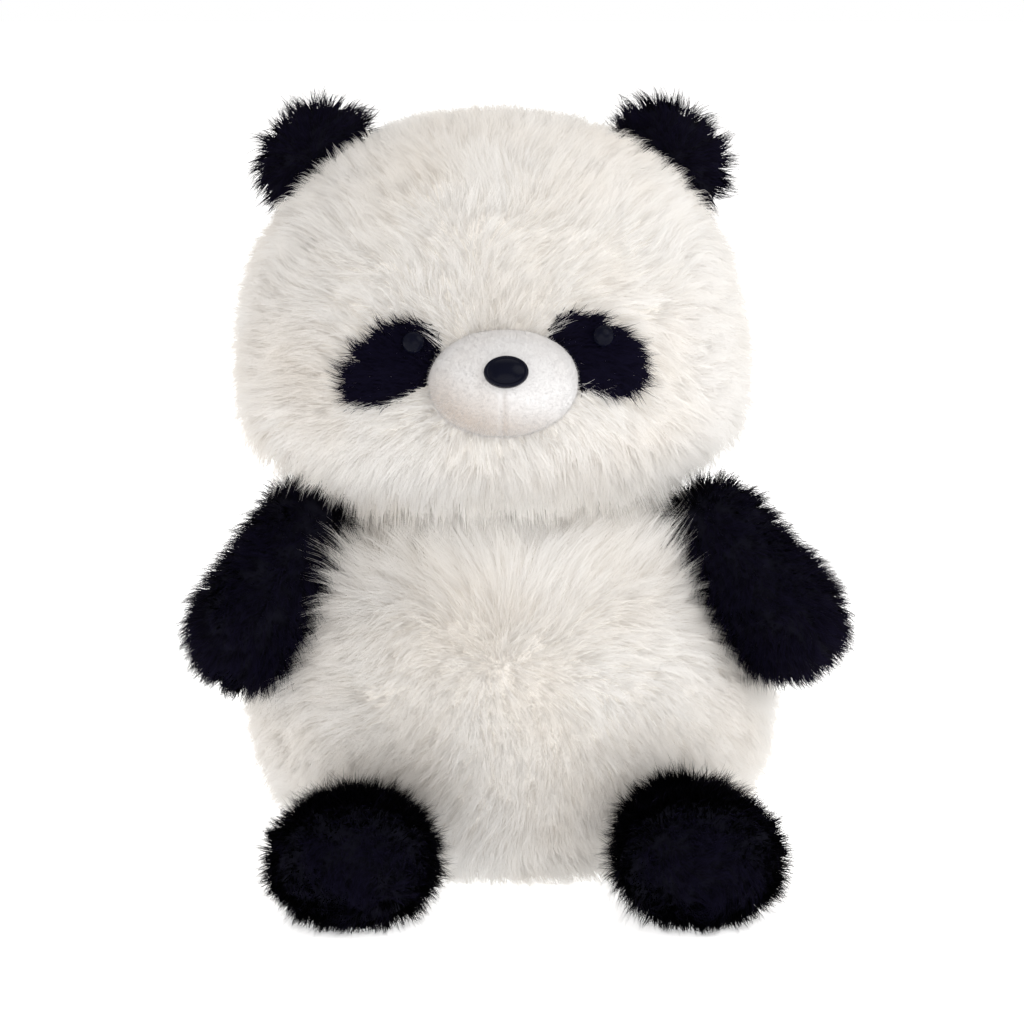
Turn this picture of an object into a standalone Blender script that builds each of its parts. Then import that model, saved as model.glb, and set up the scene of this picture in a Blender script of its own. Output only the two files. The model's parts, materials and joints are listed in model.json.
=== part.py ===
"""A plush panda that sits on its base: pile fabric, stuffing, sewn limbs, safety eyes and a safety nose.

Units are metres, +Z is up, the panda faces -Y and its own left side is +X.
The origin is the middle of the flat base, on the floor.
Run with: blender --background --python part.py
"""

import math

import bmesh
import bpy
from mathutils import Matrix, Vector

MM = 0.001
X_AXIS, Y_AXIS, Z_AXIS = 0, 1, 2

# Fabric and sewing
PILE_FABRIC = 5.0 * MM  # long-pile fabric with its pile pressed down
SHORT_FABRIC = 2.2 * MM  # short-nap fabric of the muzzle
PATCH_FABRIC = 2.6 * MM
SEAM_GAP = 0.6 * MM  # between two sewn panels
FIT_GAP = 0.5 * MM  # between a cover and what it holds
LIMB_GAP = 0.9 * MM  # between a limb and the torso it is sewn to
THREAD_RADIUS = 0.7 * MM


def form(centre, sizes, powers):
    """A stuffed form: half width, half depth, height above and below its centre, all in millimetres.

    Its three powers say how square it is seen from the top, above its centre and below it.
    A power of 2 makes an ellipsoid.
    """
    names = ("width", "depth", "up", "down")
    made = {name: size * MM for name, size in zip(names, sizes)}
    return made | {"centre": Vector(centre) * MM, "powers": powers}


# The torso stands on the floor; the head and the muzzle are placed from the neck's pivot
TORSO = form((0, 0, 56), (89, 68, 69, 65), (2.1, 2.0, 2.15))
HEAD = form((0, -1, 39), (85, 72, 88, 35), (2.15, 2.35, 2.9))
MUZZLE = form((0, -71, 46.5), (24.5, 24, 17.5, 17.5), (2.1, 2.1, 2.1))

# Neck: a ball of stuffing in the openings of head and torso
NECK_PIVOT = Vector((-5.5, -3, 128)) * MM
NECK_RADIUS = 20 * MM
NECK_SEAM_DROP = 2 * MM  # the tying thread sits this far below the pivot
HEAD_ROLL = math.radians(-1.4)  # the head leans to its own right
HEAD_YAW = math.radians(3)
HEAD_SEAM_Y = 5 * MM  # the seam from ear to ear

# Face, from the head's middle plane and the head's widest level
EYE_X, EYE_Z = 29.5 * MM, 21 * MM
EYE_SHIFT = 2 * MM  # both eyes sit a little to the panda's left
EYE_RADIUS, EYE_HEIGHT = 5 * MM, 3.4 * MM
PATCH_X, PATCH_Z = 36 * MM, 14.7 * MM
PATCH_SHIFT = -2.6 * MM  # both patches are sewn a little to its right
PATCH_LONG, PATCH_SHORT = 17.5 * MM, 10 * MM
PATCH_REACH = 12 * MM  # how far either side of the skin the patch's outline is drawn before trimming
PATCH_TILT = math.radians(37)  # the outer end hangs down
NOSE_Z = 6 * MM  # above the muzzle's middle
NOSE_RADIUS, NOSE_HEIGHT, NOSE_SQUASH = 7.1 * MM, 3.2 * MM, 0.73
STEM_RADIUS, STEM_LENGTH = 1.8 * MM, 11 * MM
STEM_HOLE = 2.3 * MM
HOLE_REACH = 8 * MM  # outwards, through whatever fabric is there
WASHER_RADIUS, WASHER_THICKNESS, WASHER_SET = 5.2 * MM, 1.2 * MM, 1.8 * MM
POCKET_RADIUS = 6.2 * MM  # room for a washer in the stuffing

# Ears: round, sewn on the head's outline
EAR_SHAPE = (19.5, 6.5, 16.5, 16.5), (2, 2.2, 2.2)
EAR_DIRECTION = {"left": Vector((61, 5, 72)), "right": Vector((56, 5, 74))}
EAR_RISE = 1  # millimetres from the head's skin to the ear's middle
EAR_BASE_GAP = 2.7 * MM  # lets the ear fold without digging into the head

# Arms: the shoulder end is a ball round the joint, the paw is a larger one
SHOULDER_DIRECTION = {"left": Vector((57, -16, 48)), "right": Vector((57, -16, 47))}
ARM = dict(root=16 * MM, tip=20 * MM, length=39 * MM, across=1, through=0.95)
ARM_HANG = {"left": math.radians(37), "right": math.radians(30)}  # from straight down
ARM_FORWARD = math.radians(14)

# Legs: the hip end is a ball round the joint, the foot is a larger one
HIP_DIRECTION = {"left": Vector((46, -50, -22)), "right": Vector((41, -52, -25))}
LEG = dict(root=16 * MM, tip=21 * MM, length=24 * MM, across=1.3, through=1)
LEG_SPLAY = {"left": math.radians(9), "right": math.radians(4)}
FOOT_CLEARANCE = 0.5 * MM  # the soles sit this far above the base

# Tail
TAIL_DIRECTION = Vector((0, 60, -22))
TAIL = dict(root=8 * MM, tip=13 * MM, length=15 * MM, across=1, through=1)
TAIL_RISE = math.radians(20)
TAIL_MOUTH = 2.2 * MM  # left open where the cover is drawn together

LABEL_DIRECTION = Vector((0, 60, 8))
LABEL_WIDTH, LABEL_LENGTH, LABEL_THICKNESS = 18 * MM, 15 * MM, 0.9 * MM

BIG_SEGMENTS, BIG_RINGS = 26, 14
LIMB_SEGMENTS, LIMB_RINGS = 18, 10
EAR_SEGMENTS, EAR_RINGS = 20, 12
MUZZLE_SEGMENTS, MUZZLE_RINGS = 24, 14
PATCH_SEGMENTS, PATCH_RINGS = 52, 28
SMALL_SEGMENTS = 16
HALVINGS = 40  # when a point on a curved front is searched for

WHITE_PILE = ((0.86, 0.83, 0.80), 0.85)
BLACK_PILE = ((0.006, 0.005, 0.012), 0.8)
SHORT_NAP = ((0.88, 0.87, 0.87), 0.75)
FIBRE = ((0.92, 0.92, 0.90), 0.95)
BLACK_PLASTIC = ((0.008, 0.008, 0.014), 0.2)
CLEAR_PLASTIC = ((0.75, 0.75, 0.74), 0.4)
THREAD = ((0.80, 0.78, 0.74), 0.7)
RIBBON = ((0.9, 0.9, 0.9), 0.4)


def clear_scene():
    for old in list(bpy.data.objects):
        bpy.data.objects.remove(old)


def material(name, look):
    """One Principled material, made once for each name."""
    made = bpy.data.materials.get(name)
    if made:
        return made
    colour, roughness = look
    made = bpy.data.materials.new(name)
    made.use_nodes = True
    shader = made.node_tree.nodes["Principled BSDF"]
    shader.inputs["Base Color"].default_value = (*colour, 1)
    shader.inputs["Roughness"].default_value = roughness
    shader.inputs["Metallic"].default_value = 0.0
    made.diffuse_color = (*colour, 1)
    return made


def empty_at(name, matrix, parent=None):
    """An empty on a joint's axis; its pieces are its children."""
    made = bpy.data.objects.new(name, None)
    bpy.context.scene.collection.objects.link(made)
    made.parent = parent
    made.matrix_local = matrix
    return made


def add(name, bm, parent=None, look=None, look_name=None):
    """Makes an object of a bmesh. With no look it is a cutter, which stays out of the model."""
    mesh = bpy.data.meshes.new(name)
    bmesh.ops.recalc_face_normals(bm, faces=bm.faces)
    bm.to_mesh(mesh)
    bm.free()
    made = bpy.data.objects.new(name, mesh)
    bpy.context.scene.collection.objects.link(made)
    made.parent = parent
    if look is None:
        made.hide_render = True
        made.display_type = "WIRE"
    else:
        mesh.materials.append(material(look_name or name, look))
        mesh.shade_smooth()
        mesh.set_sharp_from_angle(angle=math.radians(40))
    return made


def boolean(target, cutter, operation="DIFFERENCE"):
    made = target.modifiers.new(operation.lower() + "_" + cutter.name, "BOOLEAN")
    made.operation = operation
    made.solver = "EXACT"
    made.object = cutter


# Forms


def share_of_way(shape, offset, outset=0.0):
    """How far an offset from a form's centre is, as a share of the way to its surface."""
    plan, above, below = shape["powers"]
    side = "up" if offset.z > 0 else "down"
    power = above if offset.z > 0 else below
    wide = abs(offset.x / (shape["width"] + outset)) ** plan
    deep = abs(offset.y / (shape["depth"] + outset)) ** plan
    high = abs(offset.z / (shape[side] + outset))
    return ((wide + deep) ** (power / plan) + high**power) ** (1 / power)


def normal_at(shape, point):
    """The way the share of the way grows fastest."""
    step = 0.01 * MM
    offset = point - shape["centre"]
    slopes = []
    for axis in range(3):
        ahead, behind = offset.copy(), offset.copy()
        ahead[axis] += step
        behind[axis] -= step
        slopes.append(share_of_way(shape, ahead) - share_of_way(shape, behind))
    return Vector(slopes).normalized()


def towards(shape, direction):
    """The surface point in a direction from the centre, and the normal there."""
    point = shape["centre"] + direction / share_of_way(shape, direction)
    return point, normal_at(shape, point)


def front_of(shape, x, z):
    """The surface point on the front, at x and z from the centre, and the normal there."""
    near, far = 0.0, shape["depth"]
    for _ in range(HALVINGS):
        middle = (near + far) / 2
        inside = share_of_way(shape, Vector((x, -middle, z))) < 1
        near, far = (middle, far) if inside else (near, middle)
    point = shape["centre"] + Vector((x, -near, z))
    return point, normal_at(shape, point)


def frame_on(point, normal, across=Vector((1, 0, 0))):
    """A frame at a surface point: Z along the normal, X as near to across as it can be."""
    x = (across - normal * across.dot(normal)).normalized()
    y = normal.cross(x)
    rotation = Matrix((x, y, normal)).transposed()
    return Matrix.Translation(point) @ rotation.to_4x4()


def stuffed(shape, outset=0.0, segments=BIG_SEGMENTS, rings=BIG_RINGS):
    """The form as a closed bmesh, its surface moved out by outset."""
    bm = bmesh.new()
    bmesh.ops.create_uvsphere(bm, u_segments=segments, v_segments=rings, radius=1)
    for v in bm.verts:
        height = shape["up"] if v.co.z > 0 else shape["down"]
        v.co.x *= shape["width"]
        v.co.y *= shape["depth"]
        v.co.z *= height
        v.co /= share_of_way(shape, v.co, outset)
        v.co += shape["centre"]
    return bm


def limb(shape, inset=0.0):
    """A ball at the origin and a larger one along +Z, with a straight side between them.

    It is stretched across X and through Y.
    """
    bm = bmesh.new()
    bmesh.ops.create_uvsphere(bm, u_segments=LIMB_SEGMENTS, v_segments=LIMB_RINGS, radius=1)
    for v in bm.verts:
        at_tip = v.co.z > -0.01
        v.co *= (shape["tip"] if at_tip else shape["root"]) - inset
        if at_tip:
            v.co.z += shape["length"]
    return scaled(bm, shape["across"], shape["through"])


def scaled(bm, x=1.0, y=1.0, z=1.0):
    bmesh.ops.scale(bm, vec=(x, y, z), verts=bm.verts)
    return bm


def sliced(bm, point, normal):
    """Cuts away what is beyond a plane, and closes the cut."""
    bmesh.ops.bisect_plane(
        bm,
        geom=bm.verts[:] + bm.edges[:] + bm.faces[:],
        plane_co=point,
        plane_no=normal,
        clear_outer=True,
    )
    open_edges = [e for e in bm.edges if e.is_boundary]
    bmesh.ops.holes_fill(bm, edges=open_edges, sides=0)
    return bm


def keep_side(bm, axis, side, at=0.0):
    """Keeps one side of a seam plane across an axis, short of it by half a seam gap."""
    normal = Vector((0, 0, 0))
    normal[axis] = -side
    point = Vector((0, 0, 0))
    point[axis] = at + side * SEAM_GAP / 2
    return sliced(bm, point, normal)


def ball(radius, centre=Vector((0, 0, 0)), segments=20, rings=12):
    bm = bmesh.new()
    place = Matrix.Translation(centre)
    bmesh.ops.create_uvsphere(bm, u_segments=segments, v_segments=rings, radius=radius, matrix=place)
    return bm


def lathe(profile, segments=SMALL_SEGMENTS):
    """Turns a profile of (radius, height) points about Z."""
    bm = bmesh.new()
    points = [bm.verts.new((r, 0, h)) for r, h in profile]
    edges = [bm.edges.new(pair) for pair in zip(points, points[1:])]
    return spun(bm, points + edges, segments)


def spun(bm, outline, segments):
    """Turns an outline once round Z and closes it."""
    centre, axis = (0, 0, 0), (0, 0, 1)
    turn = dict(cent=centre, axis=axis, angle=math.tau, steps=segments, use_merge=True)
    bmesh.ops.spin(bm, geom=outline, **turn)
    bmesh.ops.remove_doubles(bm, verts=bm.verts, dist=0.01 * MM)
    return bm


def button(radius, height, rim=0.6 * MM, arc_steps=5):
    """A domed button on a stem: its flat back is at height 0 and its stem runs down -Z."""
    angles = [math.pi / 2 * (1 - k / arc_steps) for k in range(arc_steps + 1)]
    dome = [(radius * math.cos(a), rim + (height - rim) * math.sin(a)) for a in angles]
    stem = [(STEM_RADIUS, 0), (STEM_RADIUS, -STEM_LENGTH + MM), (STEM_RADIUS - 0.6 * MM, -STEM_LENGTH)]
    return lathe([*dome, (radius, 0), *stem, (0, -STEM_LENGTH)])


def ring(inner, outer, thickness, top):
    """A flat washer whose upper face is at height top."""
    low = top - thickness
    profile = [(inner, top), (outer, top), (outer, low), (inner, low), (inner, top)]
    return lathe(profile)


def rod(radius, low, high, segments=SMALL_SEGMENTS):
    bm = bmesh.new()
    middle = Matrix.Translation((0, 0, (low + high) / 2))
    sizes = dict(radius1=radius, radius2=radius, depth=high - low)
    bmesh.ops.create_cone(bm, cap_ends=True, segments=segments, matrix=middle, **sizes)
    return bm


def thread_loop(radius, thickness=THREAD_RADIUS, segments=24, sides=6):
    """A ring of sewing thread about Z."""
    bm = bmesh.new()
    circle = [
        bm.verts.new((radius + thickness * math.cos(a), 0, thickness * math.sin(a)))
        for a in (math.tau * k / sides for k in range(sides))
    ]
    edges = [bm.edges.new((circle[k], circle[(k + 1) % sides])) for k in range(sides)]
    return spun(bm, circle + edges, segments)


# Sub-assemblies


def torso():
    """Four panels round the stuffing, open at the neck."""
    hollow = add("cut_torso_hollow", flat_based(TORSO, -PILE_FABRIC, PILE_FABRIC))
    opening = add("cut_torso_neck", ball(NECK_RADIUS + LIMB_GAP, NECK_PIVOT))

    def panel(name, *sides):
        bm = flat_based(TORSO, 0, 0)
        for axis, side, at in sides:
            keep_side(bm, axis, side, at)
        made = add(name, bm, None, WHITE_PILE, "white_pile")
        boolean(made, hollow)
        boolean(made, opening)

    above_base = (Z_AXIS, 1, PILE_FABRIC)
    panel("belly_panel", (Y_AXIS, -1, 0), above_base)
    panel("back_panel_left", (Y_AXIS, 1, 0), (X_AXIS, 1, 0), above_base)
    panel("back_panel_right", (Y_AXIS, 1, 0), (X_AXIS, -1, 0), above_base)
    base = keep_side(flat_based(TORSO, 0, 0), Z_AXIS, -1, PILE_FABRIC)
    add("base_panel", base, None, WHITE_PILE, "white_pile")
    stuffing = flat_based(TORSO, -PILE_FABRIC - FIT_GAP, PILE_FABRIC + FIT_GAP)
    filled = add("torso_stuffing", stuffing, None, FIBRE, "fibre_fill")
    boolean(filled, opening)


def flat_based(shape, outset, floor):
    """A stuffed form cut flat at a height above the ground."""
    return sliced(stuffed(shape, outset), Vector((0, 0, floor)), Vector((0, 0, -1)))


def neck():
    """The ball of stuffing that head and torso turn on, tied round with thread."""
    frame = empty_at("neck_joint", Matrix.Translation(NECK_PIVOT))
    add("neck_stuffing", ball(NECK_RADIUS), frame, FIBRE, "fibre_fill")
    loop = thread_loop(NECK_RADIUS + THREAD_RADIUS + SEAM_GAP)
    bmesh.ops.translate(loop, verts=loop.verts, vec=(0, 0, -NECK_SEAM_DROP))
    add("neck_seam_thread", loop, frame, THREAD, "thread")
    return frame


def head_frame():
    turned = Matrix.Rotation(HEAD_YAW, 4, "Z") @ Matrix.Rotation(HEAD_ROLL, 4, "Y")
    return empty_at("head_joint", Matrix.Translation(NECK_PIVOT) @ turned)


def head(frame):
    """A face panel and two back panels round the stuffing, open at the neck."""
    hollow = add("cut_head_hollow", stuffed(HEAD, -PILE_FABRIC), frame)
    opening = add("cut_head_neck", ball(NECK_RADIUS + LIMB_GAP), frame)
    front = keep_side(stuffed(HEAD), Y_AXIS, -1, HEAD_SEAM_Y)
    face = add("face_panel", front, frame, WHITE_PILE, "white_pile")
    panels = [face]
    for name, side in (("head_back_left", 1), ("head_back_right", -1)):
        bm = keep_side(keep_side(stuffed(HEAD), Y_AXIS, 1, HEAD_SEAM_Y), X_AXIS, side)
        panels.append(add(name, bm, frame, WHITE_PILE, "white_pile"))
    for panel in panels:
        boolean(panel, hollow)
        boolean(panel, opening)
    filled = add("head_stuffing", stuffed(HEAD, -PILE_FABRIC - FIT_GAP), frame, FIBRE, "fibre_fill")
    boolean(filled, opening)
    return face, filled


def muzzle(frame):
    """A short-nap cover over its own stuffing, with the nose button through it."""
    behind = add("cut_muzzle_back", stuffed(HEAD, 2 * FIT_GAP), frame)
    fineness = (MUZZLE_SEGMENTS, MUZZLE_RINGS)
    cover = add("muzzle_cover", stuffed(MUZZLE, 0, *fineness), frame, SHORT_NAP, "short_nap")
    boolean(cover, add("cut_muzzle_hollow", stuffed(MUZZLE, -SHORT_FABRIC, *fineness), frame))
    boolean(cover, behind)
    filling = stuffed(MUZZLE, -SHORT_FABRIC - FIT_GAP, *fineness)
    filled = add("muzzle_stuffing", filling, frame, FIBRE, "fibre_fill")
    boolean(filled, behind)

    place = empty_at("nose_place", frame_on(*front_of(MUZZLE, 0, NOSE_Z)), frame)
    nose = button(NOSE_RADIUS, NOSE_HEIGHT)
    for v in nose.verts:
        if math.hypot(v.co.x, v.co.y) > STEM_RADIUS + 0.1 * MM:
            v.co.y *= NOSE_SQUASH
        v.co.z += FIT_GAP
    add("nose_button", nose, place, BLACK_PLASTIC, "black_plastic")
    washer = ring(STEM_HOLE, WASHER_RADIUS, WASHER_THICKNESS, -SHORT_FABRIC - WASHER_SET)
    add("nose_washer", washer, place, CLEAR_PLASTIC, "clear_plastic")
    hole = add("cut_nose_hole", rod(STEM_HOLE, -STEM_LENGTH, HOLE_REACH), place)
    pocket = add("cut_nose_pocket", rod(POCKET_RADIUS, -STEM_LENGTH - MM, 0), place)
    boolean(cover, hole)
    boolean(filled, pocket)


def eye(frame, name, side, face, stuffing):
    """A sewn patch of black pile with a safety eye through it."""
    across = Vector((1, 0, 0))
    patch_frame = frame_on(*front_of(HEAD, side * PATCH_X + PATCH_SHIFT, PATCH_Z), across)
    tilt = Matrix.Rotation(-side * PATCH_TILT, 4, "Z")
    patch_place = empty_at("patch_place_" + name, patch_frame @ tilt, frame)
    oval = scaled(rod(PATCH_LONG, -PATCH_REACH, PATCH_REACH, 24), y=PATCH_SHORT / PATCH_LONG)
    patch = add("eye_patch_" + name, oval, patch_place, BLACK_PILE, "black_pile")
    fineness = (PATCH_SEGMENTS, PATCH_RINGS)
    outer = add("cut_patch_outer_" + name, stuffed(HEAD, PATCH_FABRIC + FIT_GAP, *fineness), frame)
    inner = add("cut_patch_inner_" + name, stuffed(HEAD, FIT_GAP, *fineness), frame)
    boolean(patch, outer, "INTERSECT")
    boolean(patch, inner)
    boolean(patch, add("cut_patch_muzzle_" + name, stuffed(MUZZLE, FIT_GAP), frame))

    eye_frame = frame_on(*front_of(HEAD, side * EYE_X + EYE_SHIFT, EYE_Z), across)
    eye_place = empty_at("eye_place_" + name, eye_frame, frame)
    raised = button(EYE_RADIUS, EYE_HEIGHT)
    for v in raised.verts:
        v.co.z += PATCH_FABRIC + 2 * FIT_GAP
    add("eye_" + name, raised, eye_place, BLACK_PLASTIC, "black_plastic")
    washer = ring(STEM_HOLE, WASHER_RADIUS, WASHER_THICKNESS, -PILE_FABRIC - WASHER_SET)
    add("eye_washer_" + name, washer, eye_place, CLEAR_PLASTIC, "clear_plastic")
    hole = add("cut_eye_hole_" + name, rod(STEM_HOLE, -STEM_LENGTH, HOLE_REACH), eye_place)
    pocket = add("cut_eye_pocket_" + name, rod(POCKET_RADIUS, -STEM_LENGTH - 2 * MM, 0), eye_place)
    boolean(patch, hole)
    boolean(face, hole)
    boolean(stuffing, pocket)


def ear(head_parent, name, side):
    """Two sewn panels, front and back. The ear folds about the middle of its base."""
    point, normal = towards(HEAD, mirrored(EAR_DIRECTION[name], side) * MM)
    along = Vector((normal.z, 0, -normal.x))
    hinge = frame_on(point + normal * EAR_BASE_GAP, normal, along)
    frame = empty_at("ear_joint_" + name, hinge, head_parent)
    under = add("cut_ear_base_" + name, stuffed(HEAD, EAR_BASE_GAP), head_parent)
    shape = form((0, 0, EAR_RISE - EAR_BASE_GAP / MM), *EAR_SHAPE)
    for label, half in (("front", -1), ("back", 1)):
        bm = keep_side(stuffed(shape, 0, EAR_SEGMENTS, EAR_RINGS), Y_AXIS, half)
        panel = add(f"ear_{name}_{label}", bm, frame, BLACK_PILE, "black_pile")
        boolean(panel, under)


def sewn_limb(name, shape, place, panels, seam_axis, keep_clear=None):
    """Two panels round a stuffing, with the joint at the root ball's centre."""
    frame = empty_at(name + "_joint", place)
    hollow = add(f"cut_{name}_hollow", limb(shape, PILE_FABRIC), frame)
    filling = limb(shape, PILE_FABRIC + FIT_GAP)
    made = [add(name + "_stuffing", filling, frame, FIBRE, "fibre_fill")]
    for label, side in panels:
        bm = keep_side(limb(shape), seam_axis, side)
        made.append(add(f"{name}_{label}_panel", bm, frame, BLACK_PILE, "black_pile"))
        boolean(made[-1], hollow)
    if keep_clear:
        for piece in made:
            boolean(piece, keep_clear)


def mirrored(direction, side):
    """A direction stated for the left side, for either side."""
    return Vector((side * direction.x, direction.y, direction.z))


def root_on_torso(direction, radius):
    """Where the middle of a limb's root ball sits so that the ball just clears the torso."""
    point, normal = towards(TORSO, direction * MM)
    return point + normal * (radius + LIMB_GAP)


def arms():
    """The side of an arm that lies on the torso is flattened, so the arm can only lift away from it."""
    clear = add("cut_arm_side", stuffed(TORSO, LIMB_GAP))
    for name, side in (("left", 1), ("right", -1)):
        direction = mirrored(SHOULDER_DIRECTION[name], side)
        pivot = root_on_torso(direction, ARM["root"])
        outwards = Matrix.Rotation(-side * ARM_HANG[name], 4, "Y")
        hang = outwards @ Matrix.Rotation(math.pi - ARM_FORWARD, 4, "X")
        panels = (("outer", side), ("inner", -side))
        sewn_limb("arm_" + name, ARM, Matrix.Translation(pivot) @ hang, panels, X_AXIS, clear)


def legs():
    """Short legs that point forwards, their feet on the floor."""
    for name, side in (("left", 1), ("right", -1)):
        direction = mirrored(HIP_DIRECTION[name], side)
        pivot = root_on_torso(direction, LEG["root"])
        foot_height = LEG["tip"] + FOOT_CLEARANCE
        droop = math.asin((pivot.z - foot_height) / LEG["length"])
        turn = Matrix.Rotation(side * LEG_SPLAY[name], 4, "Z") @ Matrix.Rotation(math.pi / 2 + droop, 4, "X")
        panels = (("upper", 1), ("lower", -1))
        sewn_limb("leg_" + name, LEG, Matrix.Translation(pivot) @ turn, panels, Y_AXIS)


def tail():
    """One cover, drawn together at its root, over its stuffing."""
    pivot = root_on_torso(TAIL_DIRECTION, TAIL["root"])
    backwards = Matrix.Rotation(-math.pi / 2 + TAIL_RISE, 4, "X")
    frame = empty_at("tail_joint", Matrix.Translation(pivot) @ backwards)
    cover = add("tail_cover", limb(TAIL), frame, WHITE_PILE, "white_pile")
    boolean(cover, add("cut_tail_hollow", limb(TAIL, PILE_FABRIC), frame))
    boolean(cover, add("cut_tail_mouth", rod(TAIL_MOUTH, -TAIL["root"] - MM, 0), frame))
    add("tail_stuffing", limb(TAIL, PILE_FABRIC + FIT_GAP), frame, FIBRE, "fibre_fill")


def label():
    """A blank folded ribbon sewn into the seam down the back."""
    point, normal = towards(TORSO, LABEL_DIRECTION * MM)
    place = empty_at("label_place", frame_on(point, normal, Vector((0, 0, 1))))
    bm = bmesh.new()
    bmesh.ops.create_cube(bm, size=1)
    scaled(bm, LABEL_WIDTH, LABEL_THICKNESS, LABEL_LENGTH)
    bmesh.ops.translate(bm, verts=bm.verts, vec=(0, 0, LABEL_LENGTH / 2 + 2 * FIT_GAP))
    add("blank_label", bm, place, RIBBON, "ribbon")


def build():
    clear_scene()
    torso()
    neck()
    frame = head_frame()
    face, stuffing = head(frame)
    muzzle(frame)
    for name, side in (("left", 1), ("right", -1)):
        eye(frame, name, side, face, stuffing)
        ear(frame, name, side)
    arms()
    legs()
    tail()
    label()


build()
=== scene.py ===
"""The looks of a sitting plush panda: cloth-simulated fabric skins, a long combed pile made of fine
strands, a short-napped muzzle, gloss safety eyes and nose, and fibre filling.

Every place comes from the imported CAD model. Units are metres, the panda faces -Y.
"""

import json
import math

import bmesh
import bpy
import numpy as np
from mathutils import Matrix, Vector
from mathutils.bvhtree import BVHTree


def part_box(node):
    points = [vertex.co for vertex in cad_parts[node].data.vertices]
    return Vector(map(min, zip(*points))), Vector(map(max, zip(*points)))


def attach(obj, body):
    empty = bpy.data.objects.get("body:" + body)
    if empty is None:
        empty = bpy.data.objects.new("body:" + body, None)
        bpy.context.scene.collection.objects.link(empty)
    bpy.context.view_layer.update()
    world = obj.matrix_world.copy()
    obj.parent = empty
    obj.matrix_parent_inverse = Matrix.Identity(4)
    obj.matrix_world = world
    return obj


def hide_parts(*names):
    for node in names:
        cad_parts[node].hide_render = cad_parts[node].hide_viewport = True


MM = 0.001
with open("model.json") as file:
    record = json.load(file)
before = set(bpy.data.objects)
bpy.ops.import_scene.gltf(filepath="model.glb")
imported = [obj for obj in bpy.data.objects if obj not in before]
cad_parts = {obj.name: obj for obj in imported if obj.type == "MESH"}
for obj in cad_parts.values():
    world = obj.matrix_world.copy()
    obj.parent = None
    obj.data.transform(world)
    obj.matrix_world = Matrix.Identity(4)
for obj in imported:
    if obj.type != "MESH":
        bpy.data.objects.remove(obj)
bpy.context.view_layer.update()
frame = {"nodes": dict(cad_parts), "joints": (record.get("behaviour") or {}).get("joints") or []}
NODES = frame["nodes"]
JOINTS = {joint["name"]: joint for joint in frame["joints"]}

# Pile: the CAD panels end half way up it
SKIN_DEPTH = 2.6 * MM  # the white backing fabric lies this far inside the CAD panel
BLACK_DEPTH = 0.8 * MM  # the shorter black pile hides less
FLOOR_CLEARANCE = 0.3 * MM
MUZZLE_SUNK = 2.4 * MM  # how far the muzzle's sewn edge goes into the face's pile
MUZZLE_BARE = 0.88  # no pile grows inside this share of the muzzle's outline
NAP_FIBRES = 16000
MOST_TRIANGLES = 190000  # in one piece of pile
PULL_SHADE = 0.45  # pile pulled over a gap shows its side, and is lit from there

# Cloth
SKIN_VOXEL = 4.2 * MM  # the size of the head's and the torso's mesh
CLOTH_FRAMES = 14
CLOTH_PRESSURE = 4.0

# Patches
PATCH_TRIES = 36000  # roots tried all over the face for one patch
PATCH_RISE = 1.8 * MM  # from the face's skin to the middle of the sewn patch
PATCH_REACH = 1.6 * MM  # pile whose middle is this near the sewn patch belongs to it

# Camera
CAMERA_HEIGHT = math.radians(9.5)  # above the horizon
CAMERA_DISTANCE = 1.4
CAMERA_TARGET = Vector((0, 0, 120 * MM))
FRAME_WIDTH = 348 * MM
SENSOR_WIDTH = 36  # in millimetres, as Blender wants it

HEAD_PANELS = ("face_panel", "head_back_left", "head_back_right")
TORSO_PANELS = ("belly_panel", "back_panel_left", "back_panel_right")
ARM_PANELS = tuple(f"arm_{side}_{face}_panel" for side in ("left", "right") for face in ("outer", "inner"))

# Numbers


def unit(v):
    """Rows scaled to length one."""
    return v / np.maximum(np.linalg.norm(v, axis=-1, keepdims=True), 1e-9)


def across(v, n):
    """The part of each row of v that lies in the plane with normal n."""
    return v - n * np.sum(v * n, axis=-1, keepdims=True)


class Wander:
    """A smooth random vector field, the sum of a few plane waves about size metres long."""

    def __init__(self, seed, size, waves=10):
        rng = np.random.default_rng(seed)
        self.k = unit(rng.normal(size=(waves, 3))) * (math.tau / size) * rng.uniform(0.6, 1.4, (waves, 1))
        self.phase = rng.uniform(0, math.tau, (waves, 3))
        self.scale = math.sqrt(2 / waves)

    def at(self, p):
        angle = (p @ self.k.T)[:, :, None] + self.phase[None]
        return np.sin(angle).sum(axis=1) * self.scale


def coordinates(mesh):
    co = np.zeros(len(mesh.vertices) * 3)
    mesh.vertices.foreach_get("co", co)
    return co.reshape(-1, 3)


def node_points(*names):
    return np.concatenate([coordinates(NODES[name].data) for name in names])


def node_tree(name):
    mesh = NODES[name].data
    return BVHTree.FromPolygons([v.co for v in mesh.vertices], [p.vertices for p in mesh.polygons])


def middle(name):
    low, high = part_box(name)
    return np.array((low + high) / 2)


# Meshes


def link(name, mesh, *materials):
    made = bpy.data.objects.new(name, mesh)
    bpy.context.scene.collection.objects.link(made)
    for m in materials:
        mesh.materials.append(m)
    return made


def select_only(obj):
    bpy.ops.object.select_all(action="DESELECT")
    obj.select_set(True)
    bpy.context.view_layer.objects.active = obj


def applied(obj):
    """Bakes an object's modifiers into its mesh."""
    select_only(obj)
    bpy.ops.object.convert(target="MESH")
    return obj


def stands_for(obj, node, body):
    """Hides the CAD node that a piece replaces and hangs the piece on the body it rides on."""
    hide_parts(node)
    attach(obj, body)


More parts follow.
